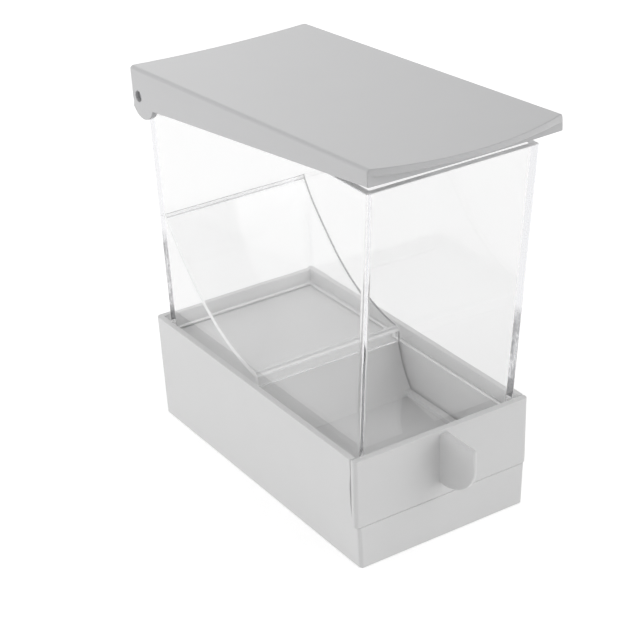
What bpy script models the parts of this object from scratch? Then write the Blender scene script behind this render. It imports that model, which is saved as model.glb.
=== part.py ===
# Cotton pad dispenser: a grey base with a pull-out drawer, a clear hopper with a curved
# ramp inside, and a hinged lid. Metres, +Z up, front towards -Y, origin under the middle
# of the base.

import math

import bmesh
import bpy
from mathutils import Vector

MM = 0.001

# Clearances
FIT_GAP = 0.3 * MM             # between pieces that touch or sit in each other
PLATE_GAP = 0.4 * MM           # closing plate to the hopper's lower edge, which it slides under
FOOT_GAP = 0.8 * MM            # drawer's rear face to the back of its bay
SEAT_SIDE_GAP = 1.3 * MM       # hopper to the base rim, left and right
SEAT_REAR_GAP = 0.8 * MM       # hopper to the base rim, at the rear
LID_SIDE_GAP = 1.35 * MM       # hopper to the lid's skirts
LID_FRONT_GAP = 3.45 * MM      # hopper to the lid's front wall
LID_SEAT_GAP = 0.5 * MM        # hopper top to the underside of a level lid, at its edges

# Base
BASE_WIDTH = 61.5 * MM
BASE_DEPTH = 110.0 * MM
BASE_HEIGHT = 35.5 * MM
BASE_DRAFT = 1.4 * MM          # each side leans in by this much at the bottom
BASE_CORNER = 1.2 * MM
BASE_FLOOR = 2.0 * MM
RIM_WALL = 2.0 * MM
SEAT_STEP = 2.2 * MM           # width of the ledge that the hopper stands on
SEAT_DEPTH = 4.4 * MM          # ledge below the rim
RAIL_WIDTH = 2.3 * MM          # ledge that the drawer slides on
RAIL_HEIGHT = 13.7 * MM        # top of the rails and of the fixed front wall
STOP_RIB = 1.6 * MM

# Drawer
PANEL_THICKNESS = 2.4 * MM
PANEL_CORNER = 1.2 * MM
PANEL_DRAFT = 0.35 * MM
DRAWER_FLOOR = 1.2 * MM
DRAWER_WALL = 1.8 * MM
PLATE_THICKNESS = 1.5 * MM
PLATE_LENGTH = 46.0 * MM       # closing plate, from its front edge to the drawer's rear
WELL_SLOPE_RUN = 8.0 * MM      # how far forward the sloped back of the well comes down
WELL_SLOPE_SAG = 1.6 * MM      # how hollow that slope is
RIB_RISE = 1.5 * MM            # low side ribs above the drawer's floor
RIB_WIDTH_REAR = 1.9 * MM
RIB_WIDTH_FRONT = 3.1 * MM
DRAWER_TRAVEL = 47.0 * MM
STOP_LIP = 5.0 * MM            # how far the drawer's rear wall reaches below its floor

# Pull tab on the drawer's front
TAB_REACH = 14.4 * MM
TAB_TOP_DROP = 1.1 * MM        # root of the tab below the panel's top edge
TAB_TOP_RISE = 0.8 * MM        # the tab's top edge climbs this much towards its tip
TAB_NOSE = 1.0 * MM            # round at the tip's upper corner
TAB_STRAIGHT = 5.0 * MM        # upright part of the outer edge
TAB_ROUND = 12.4 * MM          # round that brings the outer edge back to the panel
TAB_ROOT_THICKNESS = 3.0 * MM
TAB_TIP_THICKNESS = 1.3 * MM

# Hopper
HOPPER_RISE = 81.1 * MM        # hopper's top above the base rim
HOPPER_WALL = 2.1 * MM
HOPPER_CORNER = 1.0 * MM
HOPPER_INNER_CORNER = 0.5 * MM
SIDE_FLARE = 0.95 * MM         # each wall leans out by this much over the rise
FRONT_FLARE = 6.8 * MM
REAR_FLARE = 4.3 * MM
REAR_TOP_DROP = 2.0 * MM       # the rear wall is lower, which leaves room for the lid to swing

# Ramp
RAMP_THICKNESS = 1.8 * MM
RAMP_RISE = 39.5 * MM          # top of the ramp above the hopper's lower edge
RAMP_FLANGE = 2.8 * MM         # level strip at the rear wall
RAMP_KNEE_RUN = 25.5 * MM      # the curve's control point, from the lip
RAMP_KNEE_RISE = 3.6 * MM
RAMP_LIP_HEIGHT = 5.0 * MM
RAMP_LIP_RADIUS = 2.3 * MM
RAMP_LIP_RAISE = 0.5 * MM      # lip's lower edge above the hopper's lower edge
RAMP_LIP_AHEAD = 2.4 * MM      # lip's front face ahead of the closing plate's edge

# Lid
LID_AJAR = 3.6                 # degrees that the lid stands open at rest
LID_PLATE = 1.4 * MM
LID_SKIRT = 2.0 * MM
LID_DISH = 0.8 * MM            # the top is lower in the middle by this much
LID_EDGE_ROUND = 1.2 * MM
LID_REAR_CORNER = 1.5 * MM
LID_REAR_REACH = 4.55 * MM     # rear edge behind the hinge axis
LID_FRONT_DEPTH = 4.9 * MM     # front wall, from the top edge down
LID_SKIRT_DEPTH = 11.9 * MM    # skirt beside the ear, from the top edge down
LIP_BULGE = 5.6 * MM           # finger lip ahead of the front wall, mid-width
LIP_DEPTH = 2.4 * MM           # underside of the finger lip below the top edge
EAR_RADIUS = 6.6 * MM
EAR_DROP = 9.1 * MM            # centre of the ear's round end below the top edge

# Hinge
HINGE_BACK = 2.1 * MM          # axis ahead of the hopper's rear top edge
HINGE_DROP = 7.0 * MM          # axis below the hopper's top
PIN_RADIUS = 1.45 * MM         # head, which turns in the lid's ear
PIN_SHANK_RADIUS = 0.8 * MM    # thinner end, seated in the hopper's wall
PIN_RECESS = 0.9 * MM          # head's outer end inside the ear's hole
PIN_END_COVER = 0.7 * MM       # hole's blind end short of the hopper wall's inner face

REACH = 10.0 * MM              # how far a cutter passes what it cuts

# Places worked out from the sizes
half_width = BASE_WIDTH / 2
front = -BASE_DEPTH / 2
rear = BASE_DEPTH / 2
rim_half = half_width - RIM_WALL
rim_rear = rear - RIM_WALL
bay_half = rim_half - SEAT_STEP
bay_rear = rim_rear - SEAT_STEP
rail_half = bay_half - RAIL_WIDTH
seat_z = BASE_HEIGHT - SEAT_DEPTH
panel_back = front + PANEL_THICKNESS
cheek_front = panel_back + FIT_GAP

drawer_half = bay_half - FIT_GAP
drawer_rear = bay_rear - FOOT_GAP
drawer_low = RAIL_HEIGHT + FIT_GAP
well_floor = drawer_low + DRAWER_FLOOR
hopper_low = seat_z + FIT_GAP
plate_top = hopper_low - PLATE_GAP
plate_front = drawer_rear - PLATE_LENGTH
rear_wall_front = drawer_rear - PLATE_THICKNESS
stop_rib_rear = rear_wall_front - DRAWER_TRAVEL - FIT_GAP

hopper_top = BASE_HEIGHT + HOPPER_RISE
hopper_half_at_rim = rim_half - SEAT_SIDE_GAP
hopper_front_at_rim = panel_back + FIT_GAP
hopper_rear_at_rim = rim_rear - SEAT_REAR_GAP

hinge_y = hopper_rear_at_rim + REAR_FLARE - HINGE_BACK
hinge_z = hopper_top - HINGE_DROP
lid_half = hopper_half_at_rim + SIDE_FLARE + LID_SIDE_GAP + LID_SKIRT
lid_top = HINGE_DROP + LID_SEAT_GAP + LID_PLATE
lid_front = hopper_front_at_rim - FRONT_FLARE - hinge_y - LID_FRONT_GAP - LID_SKIRT


def clear_scene():
    for item in list(bpy.data.objects):
        bpy.data.objects.remove(item, do_unlink=True)


def add_collection(name):
    collection = bpy.data.collections.new(name)
    bpy.context.scene.collection.children.link(collection)
    return collection


def add_material(name, color, roughness, metallic=0.0, alpha=1.0):
    material = bpy.data.materials.new(name)
    material.use_nodes = True
    material.diffuse_color = (*color, alpha)
    shader = material.node_tree.nodes["Principled BSDF"]
    shader.inputs["Base Color"].default_value = (*color, 1.0)
    shader.inputs["Roughness"].default_value = roughness
    shader.inputs["Metallic"].default_value = metallic
    shader.inputs["Alpha"].default_value = alpha
    return material


def add_object(name, mesh, collection, material=None):
    item = bpy.data.objects.new(name, mesh)
    collection.objects.link(item)
    if material is not None:
        mesh.materials.append(material)
    return item


def add_block(name, collection, low_z, high_z, low_rect, high_rect=None, corner=0.0,
              corner_sides=(-1, 1), material=None):
    """A block between two heights. A rect is (x_min, x_max, y_min, y_max); the upright
    edges on the given sides in Y (-1 front, 1 rear) are rounded by corner."""
    high_rect = high_rect or low_rect
    bm = bmesh.new()
    bmesh.ops.create_cube(bm, size=2.0)
    for vert in bm.verts:
        rect = high_rect if vert.co.z > 0 else low_rect
        z = high_z if vert.co.z > 0 else low_z
        x = rect[1] if vert.co.x > 0 else rect[0]
        y = rect[3] if vert.co.y > 0 else rect[2]
        vert.co = Vector((x, y, z))
    if corner > 0:
        middle_y = (low_rect[2] + low_rect[3]) / 2
        upright = []
        for edge in bm.edges:
            first, second = edge.verts
            side = 1 if first.co.y > middle_y else -1
            if abs(first.co.z - second.co.z) > (high_z - low_z) / 2 and side in corner_sides:
                upright.append(edge)
        bmesh.ops.bevel(bm, geom=upright, offset=corner, offset_type="OFFSET", segments=4,
                        profile=0.5, affect="EDGES", clamp_overlap=True)
    bmesh.ops.recalc_face_normals(bm, faces=bm.faces)
    mesh = bpy.data.meshes.new(name)
    bm.to_mesh(mesh)
    bm.free()
    return add_object(name, mesh, collection, material)


def add_outline(name, collection, points, plane, low, high, material=None):
    """A flat outline, pushed through from low to high. In plane "YZ" a point is (y, z) and
    the push is along X, in "XZ" it is (x, z) along Y, and in "XY" it is (x, y) along Z."""
    curve = bpy.data.curves.new(name, "CURVE")
    curve.dimensions = "2D"
    curve.fill_mode = "BOTH"
    curve.extrude = (high - low) / 2
    spline = curve.splines.new("POLY")
    spline.points.add(len(points) - 1)
    for spot, (first, second) in zip(spline.points, points):
        spot.co = (first, second, 0.0, 1.0)
    spline.use_cyclic_u = True
    guide = bpy.data.objects.new(name + "_outline", curve)
    collection.objects.link(guide)
    middle = (low + high) / 2
    if plane == "YZ":
        guide.rotation_euler = (math.pi / 2, 0.0, math.pi / 2)
        guide.location = (middle, 0.0, 0.0)
    elif plane == "XZ":
        guide.rotation_euler = (math.pi / 2, 0.0, 0.0)
        guide.location = (0.0, middle, 0.0)
    else:
        guide.location = (0.0, 0.0, middle)
    bpy.context.view_layer.update()
    evaluated = guide.evaluated_get(bpy.context.evaluated_depsgraph_get())
    mesh = bpy.data.meshes.new_from_object(evaluated)
    mesh.transform(guide.matrix_world)
    bpy.data.objects.remove(guide, do_unlink=True)
    bm = bmesh.new()
    bm.from_mesh(mesh)
    bmesh.ops.remove_doubles(bm, verts=bm.verts, dist=0.000001)
    bmesh.ops.recalc_face_normals(bm, faces=bm.faces)
    bm.to_mesh(mesh)
    bm.free()
    mesh.name = name
    mesh.materials.clear()
    return add_object(name, mesh, collection, material)


def add_cross_rod(name, collection, radius, low_x, high_x, y, z, sides=32, material=None):
    bpy.ops.mesh.primitive_cylinder_add(vertices=sides, radius=radius, depth=high_x - low_x)
    rod = bpy.context.object
    rod.name = name
    rod.data.name = name
    rod.rotation_euler = (0.0, math.pi / 2, 0.0)
    rod.location = ((low_x + high_x) / 2, y, z)
    for holder in list(rod.users_collection):
        holder.objects.unlink(rod)
    collection.objects.link(rod)
    rod.data.shade_smooth()
    rod.data.set_sharp_from_angle(angle=math.radians(40))
    if material is not None:
        rod.data.materials.append(material)
    return rod


def combine(target, tool, operation):
    tool.hide_render = True
    tool.display_type = "WIRE"
    step = target.modifiers.new(operation.lower() + "_" + tool.name, "BOOLEAN")
    step.object = tool
    step.operation = operation
    step.solver = "EXACT"


def arc(centre_a, centre_b, radius, start, end, steps):
    """Points round a circle, angles in degrees, both ends included."""
    points = []
    for step in range(steps + 1):
        angle = math.radians(start + (end - start) * step / steps)
        points.append((centre_a + radius * math.cos(angle), centre_b + radius * math.sin(angle)))
    return points


def bezier(start, knee, end, steps):
    points = []
    for step in range(steps + 1):
        t = step / steps
        points.append(tuple(
            (1 - t) ** 2 * a + 2 * t * (1 - t) * b + t ** 2 * c
            for a, b, c in zip(start, knee, end)))
    return points


def hopper_rect(z, inset=0.0):
    """The hopper's outer outline at a height, drawn in by inset."""
    share = (z - BASE_HEIGHT) / HOPPER_RISE
    side = hopper_half_at_rim + SIDE_FLARE * share - inset
    front_y = hopper_front_at_rim - FRONT_FLARE * share + inset
    rear_y = hopper_rear_at_rim + REAR_FLARE * share - inset
    return (-side, side, front_y, rear_y)


def well_slope(offset=0.0):
    """The hollow back of the drawer's well, from the plate's edge down to the floor."""
    top = (plate_front + offset, plate_top)
    foot = (plate_front - WELL_SLOPE_RUN + offset, well_floor)
    knee = ((top[0] + foot[0]) / 2 + WELL_SLOPE_SAG, (top[1] + foot[1]) / 2 - WELL_SLOPE_SAG)
    return bezier(top, knee, foot, 6)


def build_base(parts, cutters, plastic):
    foot_half = half_width - BASE_DRAFT
    base = add_block("base_housing", parts, 0.0, BASE_HEIGHT,
                     (-foot_half, foot_half, front, rear),
                     (-half_width, half_width, front, rear), corner=BASE_CORNER, material=plastic)
    past_rim = BASE_HEIGHT + REACH
    seat = add_block("cut_hopper_seat", cutters, seat_z, past_rim,
                     (-rim_half, rim_half, front - REACH, rim_rear))
    bay = add_block("cut_drawer_bay", cutters, RAIL_HEIGHT, past_rim,
                    (-bay_half, bay_half, front - REACH, bay_rear))
    mouth = add_block("cut_front_opening", cutters, RAIL_HEIGHT, past_rim,
                      (-BASE_WIDTH, BASE_WIDTH, front - REACH, cheek_front))
    cavity = add_block("cut_base_cavity", cutters, BASE_FLOOR, RAIL_HEIGHT + REACH / 2,
                       (-rail_half, rail_half, panel_back, bay_rear))
    for cutter in (seat, bay, mouth, cavity):
        combine(base, cutter, "DIFFERENCE")
    stop_rib = add_block("join_stop_rib", cutters, BASE_FLOOR / 2, RAIL_HEIGHT - FIT_GAP * 2,
                         (-rail_half - RAIL_WIDTH / 2, rail_half + RAIL_WIDTH / 2,
                          stop_rib_rear - STOP_RIB, stop_rib_rear))
    combine(base, stop_rib, "UNION")


def tab_outline():
    top_z = BASE_HEIGHT - TAB_TOP_DROP
    tip_y = front - TAB_REACH
    tip_z = top_z + TAB_TOP_RISE
    round_z = tip_z - TAB_NOSE - TAB_STRAIGHT
    points = [(front + PANEL_THICKNESS / 2, top_z)]
    points += arc(tip_y + TAB_NOSE, tip_z - TAB_NOSE, TAB_NOSE, 90, 180, 4)
    points += arc(tip_y + TAB_ROUND, round_z, TAB_ROUND, 180, 270, 12)
    points.append((front + PANEL_THICKNESS / 2, round_z - TAB_ROUND))
    return points


def build_drawer(parts, cutters, plastic):
    inside_panel = front + PANEL_THICKNESS / 2
    side = [(inside_panel, drawer_low), (drawer_rear, drawer_low), (drawer_rear, plate_top)]
    side += well_slope()
    side.append((inside_panel, well_floor))
    drawer = add_outline("drawer", parts, side, "YZ", -drawer_half, drawer_half, plastic)

    hollow_half = drawer_half - DRAWER_WALL
    under_plate = plate_top - PLATE_THICKNESS
    hollow = [(rear_wall_front, drawer_low - REACH), (rear_wall_front, under_plate)]
    slope_back = [spot for spot in well_slope(DRAWER_WALL) if spot[1] < under_plate]
    hollow.append((slope_back[0][0], under_plate))
    hollow += slope_back
    hollow.append((slope_back[-1][0], drawer_low - REACH))
    combine(drawer, add_outline("cut_under_plate", cutters, hollow, "YZ",
                                -hollow_half, hollow_half), "DIFFERENCE")

    lip_half = rail_half - FIT_GAP
    stop_lip = add_block("join_stop_lip", cutters, drawer_low - STOP_LIP, well_floor + DRAWER_FLOOR,
                         (-lip_half, lip_half, rear_wall_front, drawer_rear - FIT_GAP))
    combine(drawer, stop_lip, "UNION")

    rib_outer = drawer_half - FIT_GAP / 2
    rib_rear = plate_front - WELL_SLOPE_RUN / 2
    rib_low = drawer_low + DRAWER_FLOOR / 4
    rib_high = well_floor + RIB_RISE
    for name, sign in (("join_rib_left", -1), ("join_rib_right", 1)):
        rib = add_block(name, cutters, rib_low, rib_high, (-1.0, 1.0, inside_panel, rib_rear))
        for vert in rib.data.vertices:
            rib_width = RIB_WIDTH_REAR if vert.co.y > 0.5 * (inside_panel + rib_rear) else RIB_WIDTH_FRONT
            inner = rib_outer - rib_width
            vert.co.x = sign * (rib_outer if vert.co.x * sign > 0 else inner)
        combine(drawer, rib, "UNION")

    panel_foot = half_width - PANEL_DRAFT
    panel = add_block("join_panel", cutters, drawer_low, BASE_HEIGHT,
                      (-panel_foot, panel_foot, front, panel_back),
                      (-half_width, half_width, front, panel_back),
                      corner=PANEL_CORNER, corner_sides=(-1,))
    combine(drawer, panel, "UNION")

    tab = add_outline("join_pull_tab", cutters, tab_outline(), "YZ", -0.5, 0.5)
    for vert in tab.data.vertices:
        share = min(max((front - vert.co.y) / TAB_REACH, 0.0), 1.0)
        thickness = TAB_ROOT_THICKNESS + (TAB_TIP_THICKNESS - TAB_ROOT_THICKNESS) * share
        vert.co.x = math.copysign(thickness / 2, vert.co.x)
    combine(drawer, tab, "UNION")


def build_hopper(parts, cutters, clear_plastic):
    hopper = add_block("hopper", parts, hopper_low, hopper_top, hopper_rect(hopper_low),
                       hopper_rect(hopper_top), corner=HOPPER_CORNER, material=clear_plastic)
    low = hopper_low - REACH
    high = hopper_top + REACH
    inside = add_block("cut_hopper_inside", cutters, low, high, hopper_rect(low, HOPPER_WALL),
                       hopper_rect(high, HOPPER_WALL), corner=HOPPER_INNER_CORNER)
    combine(hopper, inside, "DIFFERENCE")
    rear_inner = hopper_rect(hopper_top, HOPPER_WALL)[3]
    swing_room = add_block("cut_rear_top", cutters, hopper_top - REAR_TOP_DROP, high,
                           (-BASE_WIDTH, BASE_WIDTH, rear_inner - FIT_GAP, rear_inner + REACH))
    combine(hopper, swing_room, "DIFFERENCE")
    wall_inner = hopper_rect(hinge_z, HOPPER_WALL)[1]
    for name, sign in (("cut_shank_hole_left", -1), ("cut_shank_hole_right", 1)):
        ends = sorted((sign * (wall_inner + PIN_END_COVER), sign * (wall_inner + REACH)))
        hole = add_cross_rod(name, cutters, PIN_SHANK_RADIUS + FIT_GAP, ends[0], ends[1],
                             hinge_y, hinge_z, sides=24)
        combine(hopper, hole, "DIFFERENCE")


def ramp_line():
    """The ramp's upper surface as (y, z), from the rear wall down to the lip's lower edge."""
    top_z = hopper_low + RAMP_RISE
    wall_y = hopper_rect(top_z, HOPPER_WALL)[3]
    lip_y = plate_front - RAMP_LIP_AHEAD
    lip_low = hopper_low + RAMP_LIP_RAISE
    lip_top = lip_low + RAMP_LIP_HEIGHT
    curve_end = (lip_y + RAMP_LIP_RADIUS, lip_top)
    knee = (curve_end[0] + RAMP_KNEE_RUN, lip_top + RAMP_KNEE_RISE)
    points = [(wall_y + HOPPER_WALL / 2, top_z)]
    points += bezier((wall_y - RAMP_FLANGE, top_z), knee, curve_end, 16)
    points += arc(curve_end[0], lip_top - RAMP_LIP_RADIUS, RAMP_LIP_RADIUS, 90, 180, 4)[1:]
    points.append((lip_y, lip_low))
    return points


def build_ramp(parts, cutters, clear_plastic):
    """The ramp is a bent sheet, and its edges follow the hopper's leaning walls."""
    line = ramp_line()
    bm = bmesh.new()
    half = hopper_half_at_rim
    spots = [bm.verts.new((-half, y, z)) for y, z in line]
    strip = [bm.edges.new(pair) for pair in zip(spots, spots[1:])]
    pushed = bmesh.ops.extrude_edge_only(bm, edges=strip)
    moved = [item for item in pushed["geom"] if isinstance(item, bmesh.types.BMVert)]
    bmesh.ops.translate(bm, verts=moved, vec=(2 * half, 0.0, 0.0))
    bmesh.ops.recalc_face_normals(bm, faces=bm.faces)
    mesh = bpy.data.meshes.new("ramp")
    bm.to_mesh(mesh)
    bm.free()
    mesh.shade_smooth()
    upward = sum(face.normal.z * face.area for face in mesh.polygons)
    ramp = add_object("ramp", mesh, parts, clear_plastic)
    sheet = ramp.modifiers.new("sheet", "SOLIDIFY")
    sheet.thickness = RAMP_THICKNESS
    sheet.offset = -1.0 if upward > 0 else 1.0
    sheet.use_even_offset = True
    low = hopper_low + RAMP_LIP_RAISE / 2
    space = add_block("keep_hopper_space", cutters, low, hopper_top,
                      hopper_rect(low, HOPPER_WALL + FIT_GAP),
                      hopper_rect(hopper_top, HOPPER_WALL + FIT_GAP), corner=HOPPER_INNER_CORNER)
    combine(ramp, space, "INTERSECT")


def dish_points(half, base_z, steps):
    """Points of the dished top from left to right, half either side of the middle."""
    points = []
    for step in range(steps + 1):
        x = -half + 2 * half * step / steps
        points.append((x, base_z - LID_DISH * (1 - (x / lid_half) ** 2)))
    return points


def lid_channel():
    """The lid's cross-section: a dished plate with a skirt at each side."""
    deep = lid_top - EAR_DROP - EAR_RADIUS - REACH
    inner_half = lid_half - LID_SKIRT
    under = dish_points(inner_half, lid_top - LID_PLATE, 12)
    right_round = arc(lid_half - LID_EDGE_ROUND, lid_top - LID_EDGE_ROUND, LID_EDGE_ROUND, 90, 0, 4)
    left_round = [(-x, z) for x, z in reversed(right_round)]
    points = [(-lid_half, deep)] + left_round[:-1]
    points += dish_points(lid_half - LID_EDGE_ROUND, lid_top, 12)
    points += right_round[1:]
    points += [(lid_half, deep), (inner_half, deep)]
    points += list(reversed(under))
    points.append((-inner_half, deep))
    return points


def lid_side():
    """The lid from the side, as (y, z) from the hinge axis: ear, skirt, front and lip."""
    skirt_z = lid_top - LID_SKIRT_DEPTH
    ear_y = LID_REAR_REACH - EAR_RADIUS
    ear_z = lid_top - EAR_DROP
    meet = math.degrees(math.acos(min(1.0, max(-1.0, (skirt_z - ear_z) / EAR_RADIUS))))
    points = [(LID_REAR_REACH, lid_top + REACH)]
    points += arc(ear_y, ear_z, EAR_RADIUS, 0, -90 - (180 - meet), 14)
    points += [(lid_front, lid_top - LID_FRONT_DEPTH), (lid_front, lid_top - LIP_DEPTH)]
    points += [(lid_front - LIP_BULGE - REACH, lid_top - LIP_DEPTH)]
    points += [(lid_front - LIP_BULGE - REACH, lid_top + REACH)]
    return points


def lid_plan():
    """The lid from above, with the finger lip's bow at the front."""
    radius = (lid_half ** 2 + LIP_BULGE ** 2) / (2 * LIP_BULGE)
    bow = math.degrees(math.asin(lid_half / radius))
    points = arc(lid_half - LID_REAR_CORNER, LID_REAR_REACH - LID_REAR_CORNER, LID_REAR_CORNER,
                 0, 90, 4)
    points += [(-x, y) for x, y in reversed(points)]
    points += arc(0.0, lid_front - LIP_BULGE + radius, radius, 270 - bow, 270 + bow, 24)
    return points


def build_lid(parts, cutters, plastic):
    lid = add_outline("lid", parts, lid_channel(), "XZ", lid_front - LIP_BULGE - REACH,
                      LID_REAR_REACH + REACH, plastic)
    inner_half = lid_half - LID_SKIRT / 2
    under_lip = lid_top - LIP_DEPTH - REACH / 2
    wall = add_block("join_lid_front", cutters, lid_top - LID_FRONT_DEPTH - REACH,
                     lid_top - LID_DISH - LID_PLATE / 2,
                     (-inner_half, inner_half, lid_front - LIP_BULGE - REACH / 2,
                      lid_front + LID_SKIRT))
    side = add_outline("keep_lid_side", cutters, lid_side(), "YZ", -lid_half - REACH,
                       lid_half + REACH)
    plan = add_outline("keep_lid_plan", cutters, lid_plan(), "XY", under_lip - BASE_HEIGHT,
                       lid_top + REACH)
    combine(lid, wall, "UNION")
    combine(lid, side, "INTERSECT")
    combine(lid, plan, "INTERSECT")
    for item in (lid, wall, side, plan):
        item.location = (0.0, hinge_y, hinge_z)
        item.rotation_euler = (-math.radians(LID_AJAR), 0.0, 0.0)
    for name, sign in (("cut_ear_hole_left", -1), ("cut_ear_hole_right", 1)):
        ends = sorted((sign * (lid_half - LID_SKIRT - LID_SIDE_GAP / 2), sign * (lid_half + REACH)))
        hole = add_cross_rod(name, cutters, PIN_RADIUS + FIT_GAP, ends[0], ends[1],
                             hinge_y, hinge_z)
        combine(lid, hole, "DIFFERENCE")


def build_pins(parts, cutters, steel):
    wall_inner = hopper_rect(hinge_z, HOPPER_WALL)[1]
    wall_outer = hopper_rect(hinge_z)[1]
    for side, sign in (("left", -1), ("right", 1)):
        shoulder = wall_outer + FIT_GAP
        head_ends = sorted((sign * shoulder, sign * (lid_half - PIN_RECESS)))
        shank_ends = sorted((sign * (wall_inner + PIN_END_COVER + FIT_GAP),
                             sign * (shoulder + LID_SIDE_GAP / 2)))
        pin = add_cross_rod("hinge_pin_" + side, parts, PIN_RADIUS, head_ends[0], head_ends[1],
                            hinge_y, hinge_z, material=steel)
        shank = add_cross_rod("join_shank_" + side, cutters, PIN_SHANK_RADIUS, shank_ends[0],
                              shank_ends[1], hinge_y, hinge_z, sides=24)
        combine(pin, shank, "UNION")


def main():
    clear_scene()
    parts = add_collection("cotton_pad_dispenser")
    cutters = add_collection("cutters")
    grey_plastic = add_material("grey_plastic", (0.60, 0.60, 0.61), 0.38)
    clear_plastic = add_material("clear_plastic", (0.93, 0.95, 0.96), 0.05, alpha=0.25)
    pin_steel = add_material("pin_steel", (0.35, 0.35, 0.36), 0.3, metallic=1.0)
    build_base(parts, cutters, grey_plastic)
    build_drawer(parts, cutters, grey_plastic)
    build_hopper(parts, cutters, clear_plastic)
    build_ramp(parts, cutters, clear_plastic)
    build_lid(parts, cutters, grey_plastic)
    build_pins(parts, cutters, pin_steel)
    bpy.context.view_layer.update()


main()
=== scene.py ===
# Cotton pad dispenser: light grey moulded base, drawer and lid around a clear hopper.
import math

import bmesh
import bpy
from mathutils import Matrix, Vector


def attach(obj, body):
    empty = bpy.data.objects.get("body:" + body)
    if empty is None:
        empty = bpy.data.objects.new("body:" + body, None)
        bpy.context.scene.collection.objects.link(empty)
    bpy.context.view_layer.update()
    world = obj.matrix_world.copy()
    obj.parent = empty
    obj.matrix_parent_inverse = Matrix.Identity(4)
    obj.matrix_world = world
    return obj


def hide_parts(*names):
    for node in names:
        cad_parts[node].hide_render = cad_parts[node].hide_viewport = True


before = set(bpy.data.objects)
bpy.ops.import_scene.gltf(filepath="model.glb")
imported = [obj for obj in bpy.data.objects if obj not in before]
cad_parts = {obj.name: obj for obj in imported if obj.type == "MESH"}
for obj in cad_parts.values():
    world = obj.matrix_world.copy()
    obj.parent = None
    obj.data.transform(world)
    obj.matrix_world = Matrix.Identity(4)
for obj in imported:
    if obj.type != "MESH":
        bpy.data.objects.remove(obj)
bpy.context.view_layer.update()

mm = 0.001
print("frame loaded:", ", ".join(sorted(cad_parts)))


def hexToLinear(code):
    # sRGB hex text to the linear colour that shaders use
    parts = [int(code[i:i + 2], 16) / 255 for i in (1, 3, 5)]
    linear = [p / 12.92 if p <= 0.04045 else ((p + 0.055) / 1.055) ** 2.4 for p in parts]
    return (*linear, 1.0)


def addNode(tree, kind, settings=None, inputs=None):
    # settings are the node's own properties, inputs are values or sockets to link from
    node = tree.nodes.new(kind)
    for name, value in (settings or {}).items():
        setattr(node, name, value)
    for name, value in (inputs or {}).items():
        if isinstance(value, bpy.types.NodeSocket):
            tree.links.new(value, node.inputs[name])
        else:
            node.inputs[name].default_value = value
    return node


# Camera, at the photograph's angle
cameraSet = {
    "azimuth": -33.32, "elevation": 27.59, "roll": -1.53, "distance": 558.35 * mm,
    "aimHeight": 60.0 * mm, "aimRight": -3.73 * mm, "aimUp": -11.27 * mm,
    "lens": 105.66, "sensor": 36.0,
}


def direction(azimuth, elevation):
    # unit vector towards a place seen from the origin; azimuth 0 is the front, 90 the right
    turn, rise = math.radians(azimuth), math.radians(elevation)
    return Vector((math.sin(turn) * math.cos(rise), -math.cos(turn) * math.cos(rise),
                   math.sin(rise)))


def makeCamera(s):
    back = direction(s["azimuth"], s["elevation"])
    roll = math.radians(s["roll"])
    level = (-back).cross(Vector((0, 0, 1))).normalized()
    upright = level.cross(-back)
    right = level * math.cos(roll) + upright * math.sin(roll)
    up = upright * math.cos(roll) - level * math.sin(roll)
    data = bpy.data.cameras.new("camera")
    data.sensor_fit = "HORIZONTAL"
    data.sensor_width = s["sensor"]
    data.lens = s["lens"]
    data.dof.use_dof = False
    camera = bpy.data.objects.new("camera", data)
    bpy.context.scene.collection.objects.link(camera)
    aim = Vector((0, 0, s["aimHeight"])) + right * s["aimRight"] + up * s["aimUp"]
    spot = aim + back * s["distance"]
    turn = Matrix((right, up, back)).transposed().to_4x4()
    camera.matrix_world = Matrix.Translation(spot) @ turn
    bpy.context.scene.camera = camera


makeCamera(cameraSet)
print("camera placed")


# Materials; sizes of grain, flow and strokes are real sizes
greySet = {
    "color": "#DDDDDD", "roughness": 0.36, "ior": 1.53, "grain": 0.35 * mm,
    "grainHeight": 0.002 * mm, "glossSpread": 0.02, "shadeSize": 14.0 * mm, "shadeSpread": 0.015,
}
# the lid: a darker grey than the base, with a glossier, finer-grained skin
lidGreySet = dict(greySet, color="#C3C3C4", roughness=0.28, grainHeight=0.0004 * mm,
                    glossSpread=0.01)
clearSet = {
    "color": "#FDFDFD", "roughness": 0.01, "ior": 1.50, "density": 5.0, "tint": "#EFEFF0",
    "flowSize": 22.0 * mm, "flowHeight": 0.05 * mm, "flowSmear": 0.02,
    # the edge colour is painted shade on light caught in the walls; the low colour paints grey
    # streaks of shade low down
    "passColor": "#FFFFFF", "edgeShadeColor": "#CBCBCD", "turnsInside": 1.5,
    "lowShadeColor": "#A0A0A2", "lowFull": 58.0 * mm, "lowNone": 63.0 * mm, "farShare": 0.6,
    "stroke": 4.0 * mm, "strokeFrom": 0.35, "strokeTo": 0.65, "strokeLeast": 0.3, "strokeMost": 0.9,
    "frost": 0.0, "frostRoughness": 0.25,
}
rimSet = dict(clearSet, frost=0.85, outerColor="#FFFFFF", innerShadeColor="#FFFFFF")
bendSet = dict(clearSet, frost=0.42, outerColor="#FFFFFF", innerShadeColor="#FFFFFF")
# seen from inside through the sheet, the cut edges are painted a dark grey shade
cutEdgeSet = dict(clearSet, frost=0.95, outerColor="#FFFFFF", innerShadeColor="#858587")
pinSet = {"color": "#9C9D9F", "roughness": 0.35, "wear": 0.3 * mm, "glossSpread": 0.08}


def startMaterial(name):
    material = bpy.data.materials.new(name)
    material.use_nodes = True
    material.node_tree.nodes.clear()
    return material, material.node_tree


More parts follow.
